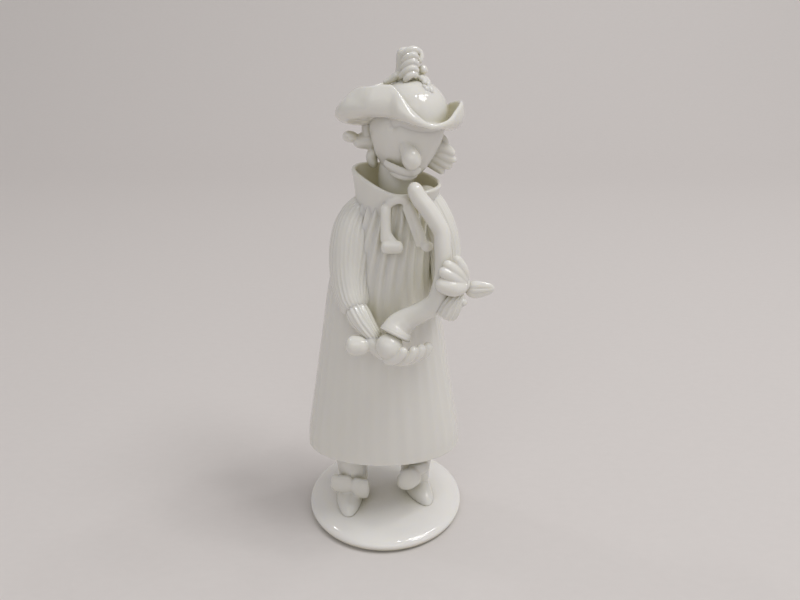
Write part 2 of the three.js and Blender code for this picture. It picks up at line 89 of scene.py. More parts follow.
# The stand-up collar above the shoulder seam
COLLAR_CENTRE = [9, -2]
COLLAR_FOOT = [24.6, 18.4, 231]
COLLAR_RIM = [26.8, 21.6, 247.5]
COLLAR_WALL = 2.6
COLLAR_FLARE = 1.6
COLLAR_EDGE = 0.95
COLLAR_SIDES = 200
# The rim is higher on the figure's right and at the back, with a notch in front. Below it the foot dips
# to run into the neck tie, and beside that rises behind the knot. The notch, dip and rise are each a
# size in millimetres, then a middle and a spread in radians, the notch's from the front.
COLLAR_SIDE_LIFT = 5
COLLAR_BACK_LIFT = 1.6
COLLAR_NOTCH = (5, 0, 0.6)
COLLAR_DIP = (4.5, -2.05, 0.4)
COLLAR_RISE = (5.5, -1.45, 0.34)

# Sleeves, cuffs and horn: centre x, y, z and radius from one end to the other
RIGHT_SLEEVE = [
    [-2, 0, 231, 8], [-11.6, -3, 225, 10.8], [-15.6, -6, 217, 13.2], [-17.2, -9, 207, 14.4],
    [-18.4, -13, 195, 13.8], [-18.4, -19, 184, 12], [-16.8, -25, 176, 10], [-13.4, -30, 170.5, 7.4],
]
LEFT_SLEEVE = [
    [19, 0, 238, 9], [27, -3, 230, 10.4], [33.2, -6, 219, 10.8], [37.2, -9, 207, 10.4],
    [38.8, -14, 195, 9.4], [39.4, -21, 185, 8.6], [40, -29, 178, 7.6], [40.6, -35, 176, 6.4],
]
SLEEVE_RIBS = 28
SLEEVE_RIB_DEPTH = 0.3
SIDES_PER_SLEEVE_RIB = 8
RIGHT_CUFF = [
    [-17.4, -27, 175, 6.6], [-13.6, -31.6, 170, 7.4], [-8.4, -36.4, 163.6, 6.2], [-1.6, -41.6, 156.6, 4],
]
LEFT_CUFF = [
    [46.6, -44.4, 190.6, 4], [42.4, -45.4, 186.2, 6], [39, -45.6, 181.4, 7.2], [36.8, -44.8, 177.2, 7.4],
]
CUFF_RIBS = 15
CUFF_RIB_DEPTH = 0.55
CUFF_EDGE = 1.4
SIDES_PER_CUFF_RIB = 10
HORN = [
    [17.6, -25.6, 249.4, 4.2], [21.4, -28, 241.6, 4.8], [26.4, -30.4, 235.6, 5], [30.8, -33, 229.6, 5],
    [34.4, -35.6, 223.4, 4.9], [35, -38.4, 216.4, 4.9], [35.6, -41, 207.6, 5], [35.2, -43, 198.4, 5.1],
    [32.8, -44.4, 188, 5.4], [29.4, -44.8, 182.4, 5.8], [24, -44.4, 178.4, 6], [19, -43.6, 175.4, 6.1],
    [14.8, -43, 172.4, 6.9], [10.6, -43.2, 168.2, 8.5], [7.4, -46, 162.8, 10.2],
]
HORN_MOUTH_EDGE = 1.8
# A fine line drawn round the mouth: its depth, and its middle and spread in steps back from the mouth
MOUTH_LINE = (0.3, 1.6, 0.5)
MOUTH_LINE_STEP = 0.012

# The right hand, palm up under the horn's mouth, with a ball of glass in it
PALM_BALL = [4.8, -49.4, 158.2, 8]
RIGHT_PALM = [[-9, -38.6, 160, 5], [-1, -42, 154, 6.4], [6, -45, 152.4, 6.6], [13, -46, 152.4, 5.4]]
RIGHT_THUMB_ROOT = [[-1, -38, 155, 3.6], [-12, -38.6, 154.8, 2.8]]
RIGHT_THUMB = [[-21.6, -41.2, 154.6, 5.2], [-15.6, -41.8, 154.8, 6.2], [-5.8, -42.2, 154.8, 5]]
RIGHT_THUMB_ENDS = (6.4, 5)
RIGHT_FINGERS = [
    [[1.1, -51, 151, 3.3], [7, -54, 152.2, 3.5], [11.6, -55.4, 156, 3], [13.7, -55.2, 160.6, 2.5]],
    [[5.1, -49, 149.4, 3.3], [12, -52, 150.4, 3.6], [17.2, -53.6, 154.2, 3.2], [19.8, -53.4, 160.2, 2.6]],
    [[8.6, -47, 148.8, 3.3], [15.9, -49.8, 150, 3.6], [21.7, -51.4, 154.4, 3.3], [24.3, -51, 160.4, 2.7]],
    [[12.8, -44.6, 148.6, 3.3], [19.6, -47, 150, 3.5], [25.6, -48.4, 154.2, 3.3], [28.6, -48, 160, 2.6]],
]

# The left hand, closed round the middle of the horn
LEFT_PALM = [[50, -43, 192, 4], [46, -43, 195, 5.6], [41, -42, 200, 6]]
LEFT_FINGERS = [
    [[48.6, -45, 198, 2.2], [46, -46.6, 205.6, 3.1], [41.4, -46.6, 213.4, 2.4]],
    [[48.4, -46, 197, 2.2], [42.4, -48.8, 204.6, 3.4], [35.2, -48.8, 210.6, 2.6]],
    [[48, -46.8, 196, 2.2], [40.6, -50.6, 202, 3.5], [32.6, -50.4, 206.8, 2.8]],
    [[48.6, -46.4, 195, 2.8], [42, -50.8, 195.8, 4.9], [36, -51.4, 197.4, 4.8], [30.6, -50.4, 199, 3.4]],
]
LEFT_THUMB = [[48.2, -43, 191.8, 4.6], [54, -43, 191.6, 5.4], [59, -43, 191.8, 4.5], [65, -43, 192.2, 2.4]]
LEFT_THUMB_FLAT = 0.5
# The two grooves drawn along the thumb: their places across it, and their depth, middle and spread
THUMB_GROOVE_PLACES = (0.3, -0.35)
THUMB_GROOVE = (0.9, 0, 0.12)
LEFT_WRIST_BEAD = [[47.2, -45.4, 187.8, 2.8], [46, -46.6, 182.6, 3]]

# The neck ties, left and right as the viewer sees them
KNOT_FLAT = 0.72
TAIL_FLAT = 0.76
STRAND_FLAT = 0.8
TIE_KNOT = [[3, -21, 234.8, 3.2], [7, -22.4, 237.6, 2.6], [11.6, -22.8, 238.4, 2.4], [16.4, -22, 236.4, 3]]
LEFT_TAIL = [[3, -21, 236, 3.4], [2.8, -24, 229, 3.1], [2.9, -26.4, 221, 3.2], [3.2, -28.2, 213.4, 3.8]]
LEFT_TAIL_FOOT = [
    [-0.1, -28.4, 212.4, 3.8], [4, -29, 212.2, 4], [8.6, -29.2, 212.2, 4], [13.1, -29.4, 212.6, 3.6],
]
LEFT_TAIL_FOOT_ENDS = (2.4, 2.2)
LEFT_TAIL_CORNER = [[3.6, -26.4, 221, 2.4], [5.2, -27.8, 216.4, 3], [9, -28.8, 213.4, 2.8]]
RIGHT_TAIL = [
    [[15.4, -21.6, 237, 2.8], [20.2, -25, 226.6, 2.4], [22.8, -26.6, 220, 2.4], [24.6, -27.8, 213.6, 2.6]],
    [[13.4, -22, 235.6, 2], [16.8, -24.8, 226.6, 1.8], [20.4, -26.6, 217, 1.9], [22.4, -27.8, 212, 2.2]],
]
RIGHT_TAIL_FOOT = [[23, -28, 214, 2.6], [26.4, -28.8, 212.6, 3.4], [30, -28.8, 214, 3]]

# The neck and the plain egg-shaped head with its applied nose and lip
NECK = [[7, -4, 224, 13], [8, -4, 238, 10.4], [9, -3.4, 250, 10.6], [12, -3, 264, 12]]
HEAD = [
    [12.2, -4.6, 246.6, 7], [13, -4, 254, 13.4], [13.8, -3, 263, 18.4], [14.8, -2, 274, 21.6],
    [15.8, -1, 286, 20.6], [16.6, 0, 299, 14],
]
NOSE = [[13.6, -19, 270.6, 3.2], [15, -22, 267, 4.2], [17.2, -25, 262.8, 5.6], [18.2, -25.6, 256.2, 5.6]]
LIP = [
    [1.8, -15.8, 258.4, 2.6], [5.4, -18.6, 256.6, 3.3], [11.4, -20.8, 254.6, 3.3],
    [17.8, -21.4, 253.6, 2.9], [23, -18.8, 255.2, 2.2],
]
# The lip is a strip laid on at a slant. Its creases are strongest near one end.
LIP_FLAT = 0.42
LIP_WIDE = (0, -0.6, 1)
LIP_CREASE_DEPTH = 0.35
LIP_CREASES_NEAR = (1, 0.15, 0.25)
JAW = [[5, -14.6, 254.6, 3], [10, -17.6, 252.8, 3.4], [16, -18.4, 252, 3.4], [21, -15.8, 253.4, 3]]
JAW_FLAT = 0.8
# Dents: where each lies, how far it reaches and how deep it is. A depth below nothing stands out.
BROW_DENTS = [([7, -22, 279.6], 2.6, 1.3), ([4.6, -20, 277], 2, -0.5)]

# Locks of hair at either side of the head, left and right as the viewer sees them
LOCK_FLAT = 0.8
LEFT_LOCKS = [
    [[0, 5, 265, 6], [-6, 4.6, 267.2, 7.4], [-12.4, 3.6, 266.8, 5.6], [-16.6, 3, 268, 3.6]],
    [[-13, 3, 268, 3.4], [-18.4, 2.6, 269.4, 4.2], [-22.6, 2.6, 269, 3.8]],
    [[-5, 3, 284, 4], [-7.6, 3, 276, 4.6], [-7.4, 3.4, 266, 4.6]],
    [[-2, 3, 262.6, 4.4], [-5.6, 2, 258, 4.4], [-4, 0, 251.4, 3.4]],
]
RIGHT_LOCKS = [
    [[31, 4, 272, 2.6], [36.6, 3.6, 268, 2.4], [38.6, 3.4, 264, 2.2]],
    [[28, 3, 266, 4.6], [37, 3, 262.6, 4.6], [43.6, 2.6, 258.4, 2.4]],
    [[27, 4, 262.6, 4.6], [36, 3.4, 258.6, 4.8], [44.6, 3, 254.8, 2.4]],
    [[26, 4, 259.6, 4.4], [34, 3.6, 255.4, 4.6], [42, 3, 250.8, 2.4]],
    [[25, 4, 257, 4.2], [31.6, 4, 252.6, 4.2], [37.6, 3.4, 247.4, 2.4]],
]
KNOB_DENTS = [([-20.2, -1, 269.2], 1.9, 1.6)]

# The three-cornered hat. Each brim station is the way it points in degrees, how low it droops,
# how far out its fold bulges, and the rim's radius and height.
HAT_CENTRE = np.array([14.6, 0, 281])
CROWN_CENTRE = [17.6, -1.5, 283.6]
CROWN_RADII = [21, 23, 19]
BRIM = [
    [-180, -4.8, 54, 30.4, 12.6], [-157, 1, 54, 27.6, 18.4], [-135, 5, 42, 27.9, 20.3],
    [-110, 5.5, 33, 23.5, 21.3], [-97, 4, 37.5, 25.2, 16.3], [-83, 2, 38.5, 28.2, 7.8],
    [-67, 0, 34.6, 30.8, 0.6], [-47, -2.4, 32.9, 31.6, 1.2], [-25, -5.4, 33.5, 30.4, 6.2],
    [0, -9, 35.5, 31, 9.4], [30, -9, 37.5, 31, 6.6], [55, -4, 33, 36, 1.5], [80, -2, 40, 30, 9],
    [110, -3, 44, 26, 17], [145, -7, 53, 27.4, 14.6],
]
BRIM_INNER_RADIUS = 15
BRIM_UNDER_RADIUS = 26
BRIM_FOLD_DROOP = 0.65
BRIM_FOLD_DROP = 1.5
BRIM_WALL = 2.4
BRIM_EDGE = 0.97
BRIM_SIDES = 360
BRIM_STEPS = 44
HAT_DENTS = [([-16, -22, 297], 4, 0.9), ([-11, -26, 293], 3, 0.6)]

# The looped plume on the crown: its body, its loops, and the strands that trail from it
PLUME_LOOPS = [
    [[17.4, 1, 297, 11.4], [15.8, 1, 303, 9], [14.8, 1, 309, 6.2], [14.6, 1, 314.6, 5.7], [15.6, 1, 319, 5]],
    [[11.4, -2.6, 314.4, 1.5], [15, -4.6, 317.2, 1.9], [18.6, -4.6, 318.2, 1.9], [22, -2.4, 316.8, 1.6]],
    [[12, -4, 311.4, 1.5], [15.4, -5.8, 314.4, 1.9], [18.6, -5.8, 315.2, 1.9], [21, -4, 313, 1.5]],
    [[11.4, -4.8, 307.6, 1.5], [15, -6.4, 311, 1.9], [18.4, -6.4, 312, 1.9], [21, -4.4, 309.6, 1.6]],
    [[10.4, -5.4, 303, 1.6], [14.4, -7.2, 307, 2], [18, -7.2, 308.6, 2], [21.2, -5, 306.4, 1.6]],
    [[13, -7.8, 301.4, 1.6], [15.6, -8.6, 304.2, 1.9], [18.4, -8, 305.4, 1.8], [20.8, -6, 303.6, 1.6]],
    [[21, 0, 318, 1.8], [22.6, -1.4, 314.4, 1.7], [21.6, -3.6, 310.8, 1.5]],
    [[22.6, -1, 309.4, 2.6], [25.2, -2.6, 305, 2.4]],
]
PLUME_TRAIL = [
    [[1.6, -2, 299.8, 1.3], [6, -2.4, 302, 2], [11, -3, 305.4, 2.8]],
    [[21.4, -6, 304, 1.8], [24, -7, 302.4, 1.7], [24.6, -10, 300.4, 1.3]],
    [[23.6, -4, 303.8, 1.8], [26.4, -6.6, 301.2, 1.7], [26.6, -9.8, 299.4, 1.2]],
    [[23.4, -11, 300.2, 1.2], [25.4, -12.4, 298.2, 1.5], [25.8, -14, 296.6, 1]],
    [[25.8, -10, 299.6, 1.2], [27.8, -11.8, 297.8, 1.5], [28.4, -13.6, 296, 1]],
]

# Legs, pointed shoes and ribbon bows
RIGHT_LEG = [[-24.6, 3, 12, 9], [-22.8, 2, 30, 10.4], [-28, 1, 62, 9.6], [-40.2, 0, 118, 6.4]]
LEFT_LEG = [[23.4, 9, 12, 8.6], [22.3, 8, 30, 10.6], [27, 4, 62, 9.2], [39.4, 0, 118, 6.4]]
SHOE_LENGTH = 38
SHOE_WIDTH = 19
SHOE_HEIGHT = 12.5
# How much wider and higher than that a shoe is at the heel, and how much it loses towards the toe
SHOE_TAPER = {"heel_width": 1.12, "toe_width": 0.3, "heel_height": 1.1, "toe_height": 0.35}
BOW_FLAT = 0.42
RIGHT_HEEL = [-25.8, 13]
RIGHT_TURN = 1.0
LEFT_HEEL = [18, 22.4]
LEFT_TURN = 21
RIGHT_BOW = [
    [[-38, -6, 27, 6.2], [-34, -8.6, 26.8, 7.4], [-28, -10, 27.2, 7.4], [-21.8, -10, 28, 6.4]],
    [[-24.8, -10, 28, 5.4], [-19, -10.6, 25.8, 7.2], [-14.4, -10, 23, 8.4], [-10.8, -8.6, 22.6, 7.4]],
]
RIGHT_BOW_ENDS = [(3.6, 2.4), (2.4, 3.6)]
LEFT_BOW = [
    [[9.4, -5.6, 29.6, 5], [12.8, -7.8, 29, 8.2], [18, -8.4, 31, 8.8], [25.4, -6.6, 34, 7]],
    [[17, -5, 33.6, 5], [24, -5.4, 35.6, 5.2], [31.6, -1.4, 36.2, 4.8]],
]
LEFT_BOW_ENDS = [(4.4, 3), (2.4, 2.4)]


# Lines and skins

# The way a rod is wide
ACROSS = (1, 0, 0)
FRONT_TO_BACK = (0, 1, 0)
UPRIGHT = (0, 0, 1)
# Steps round a rolled edge, without its two ends
ROLLED_EDGE = np.linspace(0, math.pi, 10)[1:-1, None]
# How finely a line is measured for its length
MEASURING_STEPS = 400


def smooth_line(stations, way, closed=False):
    """The smooth curve through the stations, read at each way from 0 to 1 along it."""
    stations = np.asarray(stations, float)
    spans = len(stations) if closed else len(stations) - 1
    place = spans * np.clip(way, 0, 1)
    index = np.minimum(np.floor(place).astype(int), spans - 1)
    part = (place - index)[..., None]
    if closed:
        before, start, end, after = (stations[(index + k) % spans] for k in (-1, 0, 1, 2))
    else:
        longer = np.vstack([2 * stations[0] - stations[1], stations, 2 * stations[-1] - stations[-2]])
        before, start, end, after = (longer[index + k] for k in range(4))
    leave = (end - before) / 2
    arrive = (after - start) / 2
    square = 3 * (end - start) - 2 * leave - arrive
    cube = 2 * (start - end) + leave + arrive
    return start + leave * part + square * part ** 2 + cube * part ** 3


def unit(vectors):
    return vectors / np.linalg.norm(vectors, axis=-1, keepdims=True)


def skin(rings, ends="points"):
    """A closed shell over rings of points. Its ends are drawn in to points, or joined to each other."""
    count, around = rings.shape[:2]
    step = np.arange(around)
    beside = (step + 1) % around
    if ends == "joined":
        first = np.arange(count)[:, None] * around
        second = (np.arange(1, count + 1) % count)[:, None] * around
        points = rings.reshape(-1, 3)
        caps = []
    else:
        first = 1 + np.arange(count - 3)[:, None] * around
        second = first + around
        points = np.vstack([rings[0].mean(0), rings[1:-1].reshape(-1, 3), rings[-1].mean(0)])
        last = len(points) - 1
        caps = [[0, 1 + b, 1 + a] for a, b in zip(step, beside)]
        caps += [[last, last - around + a, last - around + b] for a, b in zip(step, beside)]
    quads = np.stack([first + step, first + beside, second + beside, second + step], -1).reshape(-1, 4)
    return points, quads.tolist() + caps


def tube(stations, sides=24, rings=24, wide=ACROSS, flat=1.0, groove=None, edges=(None, None)):
    """A rod through stations of centre and radius, wide one way and flatter the other.

    Its ends are round, or as short as an edge says.
    """
    stations = np.asarray(stations, float)
    way = (1 - np.cos(np.linspace(0, math.pi, rings + 1))) / 2
    line = smooth_line(stations[:, :3], np.linspace(0, 1, MEASURING_STEPS))
    length = np.linalg.norm(np.diff(line, axis=0), axis=1).sum()
    first_cap, last_cap = (
        min(0.5, (radius if edge is None else edge) / length)
        for radius, edge in zip(stations[[0, -1], 3], edges)
    )
    from_end = np.minimum(1, np.minimum(way / first_cap, (1 - way) / last_cap))
    rounding = np.sqrt(1 - (1 - from_end) ** 2)[:, None]
    angle = np.linspace(-math.pi, math.pi, sides, endpoint=False)[None, :]
    radius = smooth_line(stations[:, 3:], way) * rounding
    if groove is not None:
        radius = radius - groove(way[:, None], angle) * rounding
    nudge = 1e-4
    centre = smooth_line(stations[:, :3], way)
    tangent = unit(smooth_line(stations[:, :3], way + nudge) - smooth_line(stations[:, :3], way - nudge))
    wide = np.asarray(wide, float)
    across = unit(wide - tangent * (tangent @ wide)[:, None])
    third = np.cross(tangent, across)
    reach = np.stack([radius * np.cos(angle), radius * flat * np.sin(angle)], -1)
    return skin(centre[:, None] + across[:, None] * reach[..., :1] + third[:, None] * reach[..., 1:])


def ball(centre, radii, sides=32, rings=24):
    """A ball, or an egg when its three radii differ."""
    turn = np.linspace(0, math.pi, rings + 1)[:, None]
    angle = np.linspace(-math.pi, math.pi, sides, endpoint=False)[None, :]
    unit_ball = np.stack([
        np.sin(turn) * np.cos(angle), np.sin(turn) * np.sin(angle), np.cos(turn) * np.ones_like(angle),
    ], -1)
    return skin(unit_ball * np.asarray(radii, float) + np.asarray(centre, float))


def waver(waves, way, angle):
    """A slow wander made of a few sine waves, for the unevenness of work done by hand."""
    return sum(
        size * np.sin(turns_round * angle + turns_along * way + start)
        for size, turns_round, turns_along, start in waves
    )


def eased(share, height=1):
    """A height climbed smoothly, level at both ends, as a share goes from 0 to 1."""
    return height * share ** 2 * (3 - 2 * share)


def ribbed(turns):
    """A row of rounded grooves, from 0 on each rib to 1 in each groove."""
    return 0.5 - 0.5 * np.cos(turns)


def soft_bump(where, size, middle, spread):
    """A single soft bump of a size, round a middle."""
    return size * np.exp(-((where - middle) / spread) ** 2)


# Pieces of glass

pieces = []


def glass_piece(name, shells, replaced=("upper_figure",), place=FIGURE_PLACE):
    """One mesh made of closed shells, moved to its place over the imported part."""
    points = []
    faces = []
    for shell_points, shell_faces in shells:
        start = sum(len(p) for p in points)
        corners = np.array([face[:3] for face in shell_faces])
        a, b, c = (shell_points[corners[:, k]] for k in range(3))
        inside_out = np.einsum("ij,ij->i", a, np.cross(b, c)).sum() < 0
        faces += [[start + i for i in (face[::-1] if inside_out else face)] for face in shell_faces]
        points.append(shell_points)
    mesh = bpy.data.meshes.new(name)
    mesh.from_pydata(((np.vstack(points) + place) * MM).tolist(), [], faces)
    mesh.shade_smooth()
    piece = bpy.data.objects.new(name, mesh)
    bpy.context.scene.collection.objects.link(piece)
    pieces.append((piece, replaced))
    return piece


def shaped(piece):
    """Fixes a piece's modifiers into its mesh."""
    shown = piece.evaluated_get(bpy.context.evaluated_depsgraph_get())
    mesh = bpy.data.meshes.new_from_object(shown)
    piece.modifiers.clear()
    piece.data = mesh
    mesh.shade_smooth()
    return piece


def pressed(piece, dents):
    """Pushes soft dents into a piece at places on the figure, as a tool would leave them."""
    mesh = piece.data
    for place, reach, depth in dents:
        points = np.empty(3 * len(mesh.vertices))
        normals = np.empty(3 * len(mesh.vertices))
        mesh.vertices.foreach_get("co", points)
        mesh.vertices.foreach_get("normal", normals)
        points = points.reshape(-1, 3)
        away = np.linalg.norm(points / MM - FIGURE_PLACE - np.asarray(place, float), axis=1)
        points -= normals.reshape(-1, 3) * soft_bump(away, depth * MM, 0, reach)[:, None]
        mesh.vertices.foreach_set("co", points.ravel())
        mesh.update()
    return piece


def melted(name, shells, grain=0.45, softening=6, replaced=("upper_figure",)):
    """Shells that ran together in the flame: one skin, with every joint rounded over.

    The grain is the fineness of the skin in millimetres, and softening is how often it is smoothed.
    """
    piece = glass_piece(name, shells, replaced)
    melt = piece.modifiers.new("melt", "REMESH")
    melt.mode = "VOXEL"
    melt.voxel_size = grain * MM
    soften = piece.modifiers.new("soften", "SMOOTH")
    soften.factor = 0.5
    soften.iterations = softening
    return shaped(piece)


# The disc

def disc():
    """A thick disc, pressed flat while hot, so its top rolls off over a wide band into a rounded edge."""
    corner_steps = 24
    flat_steps = 26
    corner = np.linspace(0, math.pi / 2, corner_steps)[1:]

    def side(roll, edge_height):
        inner = DISC_RADIUS - roll
        flat = np.linspace(0, inner, flat_steps)
        out = np.concatenate([flat, inner + roll * np.sin(corner)])
        away = np.concatenate([0 * flat, edge_height * (1 - np.cos(corner))])
        return np.stack([out, away], -1)

    top = side(DISC_TOP_ROLL, DISC_THICKNESS - DISC_EDGE_RADIUS)
    top[:, 1] = DISC_THICKNESS - top[:, 1]
    section = np.vstack([top, side(DISC_EDGE_RADIUS, DISC_EDGE_RADIUS)[-2::-1]])
    angle = np.linspace(-math.pi, math.pi, DISC_SIDES, endpoint=False)
    rings = np.stack([
        section[:, None, 0] * np.cos(angle), section[:, None, 0] * np.sin(angle),
        section[:, None, 1] * np.ones_like(angle),
    ], -1)
    return glass_piece("disc", [skin(rings)], ("base_disc",), np.zeros(3))


# The coat

def coat_ring(way, angle, inset):
    """Points of the coat at a way up it from 0 at the hem, drawn in by an inset."""
    size = smooth_line([station[1:3] for station in COAT], way)
    centre = smooth_line([[x, y, z] for z, _, _, x, y in COAT], way)
    return np.stack([
        centre[..., 0] + (size[..., 0] - inset) * np.cos(angle),
        centre[..., 1] + (size[..., 1] - inset) * np.sin(angle),
        centre[..., 2] + 0 * angle,
    ], -1)


def coat_groove(way, angle):
    """How deep the ribs from the mould lie, stretched out towards the hem and uneven by hand."""
    wander = waver(COAT_RIB_WANDER, way, angle)
    strength = (RIB_STRENGTH + RIB_STRENGTH_SWING * np.cos(angle + RIB_STRENGTH_TURN)
                + waver(COAT_RIB_UNEVENNESS, way, angle))
    rise = np.clip((way - RIBS_DEEPEN_FROM) / RIBS_DEEPEN_OVER, 0, 1)
    depth = COAT_RIB_DEPTH_HEM + eased(rise, COAT_RIB_DEPTH_CHEST - COAT_RIB_DEPTH_HEM)
    return depth * strength * ribbed(COAT_RIBS * angle + wander)


def coat():
    """The coat from its closed top down the outside, round the hem and up inside to the hollow's roof."""
    angle = np.linspace(-math.pi, math.pi, COAT_SIDES, endpoint=False)[None, :]
    outer = np.linspace(1, HEM_EDGE, COAT_ROWS_OUTSIDE)[:, None]
    swell = waver(COAT_SWELL, outer, angle)
    outside = coat_ring(outer + 0 * angle, angle, coat_groove(outer, angle) + 0.5 * swell * outer)
    roll = COAT_WALL / 2
    hem_inset = roll - roll * np.cos(ROLLED_EDGE) + COAT_RIB_DEPTH_HEM / 2
    edge = coat_ring(HEM_EDGE + 0 * ROLLED_EDGE + 0 * angle, angle, hem_inset + 0 * angle)
    edge[..., 2] -= roll * np.sin(ROLLED_EDGE)
    inner = np.linspace(HEM_EDGE, HOLLOW_TOP, COAT_ROWS_INSIDE)[:, None]
    shoulder = np.clip((inner - HOLLOW_SHOULDER) / HOLLOW_SHOULDER_LENGTH, 0, 1)
    thick = COAT_WALL + RIB_ALLOWANCE + SHOULDER_THICKENING * eased(shoulder) ** 2
    inside = coat_ring(inner + 0 * angle, angle, thick + 0 * angle)
    top = outside[:1].mean(1, keepdims=True) + 0 * outside[:1]
    roof = inside[-1:].mean(1, keepdims=True) + 0 * inside[-1:]
    shell = skin(np.concatenate([top, outside, edge, inside, roof]))
    return glass_piece("coat", [shell], ("lower_figure", "upper_figure"))


# Sleeves, cuffs and horn

def sleeve(name, stations, lean):
    """A ribbed sleeve. Its lean shifts the unevenness, so that the two differ."""
    def groove(way, angle):
        wander = waver([(0.8, 2, 5, lean), (0.6, 4, 9, 0)], way, angle)
        strength = 1 + waver([(0.45, 4, 6, 0), (0.4, 7, -9, lean)], way, angle)
        return SLEEVE_RIB_DEPTH * strength * ribbed(SLEEVE_RIBS * angle + wander)
    sides = SLEEVE_RIBS * SIDES_PER_SLEEVE_RIB
    return glass_piece(name, [tube(stations, sides, rings=90, groove=groove)])


def cuff(name, stations, lean):
    """A ribbed cuff, cut off short at the hand."""
    def groove(way, angle):
        wander = waver([(0.5, 3, 4, lean), (0.3, 5, -7, 0)], way, angle)
        return CUFF_RIB_DEPTH * ribbed(CUFF_RIBS * angle + wander)
    sides = CUFF_RIBS * SIDES_PER_CUFF_RIB
    return glass_piece(name, [tube(stations, sides, rings=60, groove=groove, edges=(None, CUFF_EDGE))])


def horn():
    def mouth_line(way, angle):
        from_mouth = (1 - way) / MOUTH_LINE_STEP
        return soft_bump(from_mouth, *MOUTH_LINE) + 0 * angle
    return glass_piece("horn", [
        tube(HORN, sides=64, rings=220, wide=FRONT_TO_BACK, groove=mouth_line, edges=(None, HORN_MOUTH_EDGE)),
    ])


# Collar and neck ties

def collar_shell():
    """The flaring stand-up collar, higher on the figure's right, with a dip in front."""
    angle = np.linspace(-math.pi, math.pi, COLLAR_SIDES, endpoint=False)[None, :]
    from_front = np.arctan2(np.sin(angle + math.pi / 2), np.cos(angle + math.pi / 2))
    rim_height = (COLLAR_RIM[2] - COLLAR_SIDE_LIFT * np.cos(angle) + COLLAR_BACK_LIFT * np.sin(angle)
                  - soft_bump(from_front, *COLLAR_NOTCH))
    foot_height = COLLAR_FOOT[2] - soft_bump(angle, *COLLAR_DIP) + soft_bump(angle, *COLLAR_RISE)

    def wall(way, inset, lift=0.0):
        flare = way ** COLLAR_FLARE
        half_width = COLLAR_FOOT[0] + (COLLAR_RIM[0] - COLLAR_FOOT[0]) * flare - inset
        half_depth = COLLAR_FOOT[1] + (COLLAR_RIM[1] - COLLAR_FOOT[1]) * flare - inset
        height = foot_height + (rim_height - foot_height) * way + lift
        return np.stack([
            COLLAR_CENTRE[0] + half_width * np.cos(angle), COLLAR_CENTRE[1] + half_depth * np.sin(angle),
            height + 0 * angle,
        ], -1)

    up = np.linspace(0, COLLAR_EDGE, 20)[:, None]
    roll = COLLAR_WALL / 2
    rim = wall(COLLAR_EDGE + 0 * ROLLED_EDGE, roll - roll * np.cos(ROLLED_EDGE), roll * np.sin(ROLLED_EDGE))
    return skin(np.concatenate([wall(up, 0 * up), rim, wall(up[::-1], COLLAR_WALL + 0 * up)]), "joined")


def collar_and_ties():
    return melted("collar_and_ties", [
        collar_shell(),
        tube(TIE_KNOT, wide=UPRIGHT, flat=KNOT_FLAT),
        tube(LEFT_TAIL, flat=TAIL_FLAT),
        tube(LEFT_TAIL_FOOT, wide=UPRIGHT, flat=TAIL_FLAT, edges=LEFT_TAIL_FOOT_ENDS),
        tube(LEFT_TAIL_CORNER, flat=TAIL_FLAT),
        *[tube(strand, flat=STRAND_FLAT) for strand in RIGHT_TAIL],
        tube(RIGHT_TAIL_FOOT, wide=UPRIGHT, flat=TAIL_FLAT),
    ], grain=0.5)


# Head, hair, hat and plume

def head():
    piece = melted("head", [
        tube(NECK, sides=48, rings=32),
        tube(HEAD, sides=72, rings=64),
        tube(NOSE, sides=32, rings=32),
        tube(JAW, wide=UPRIGHT, flat=JAW_FLAT),
    ], grain=0.55, softening=3)
    return pressed(piece, BROW_DENTS)


def lip():
    """A pinched strip laid on under the nose, standing off the face along its upper edge."""
    def creases(way, angle):
        return LIP_CREASE_DEPTH * ribbed(4 * angle + 3 * way) * soft_bump(way, *LIP_CREASES_NEAR)
    strip = tube(LIP, sides=60, rings=60, wide=LIP_WIDE, flat=LIP_FLAT, groove=creases)
    return glass_piece("lip", [strip])


def hair(name, locks):
    strands = [tube(lock, wide=FRONT_TO_BACK, flat=LOCK_FLAT) for lock in locks]
    return melted(name, strands, grain=0.4, softening=4)


def left_hair():
    """The locks on the figure's right, with a dent pressed into the knob at their end."""
    return pressed(hair("left_hair", LEFT_LOCKS), KNOB_DENTS)


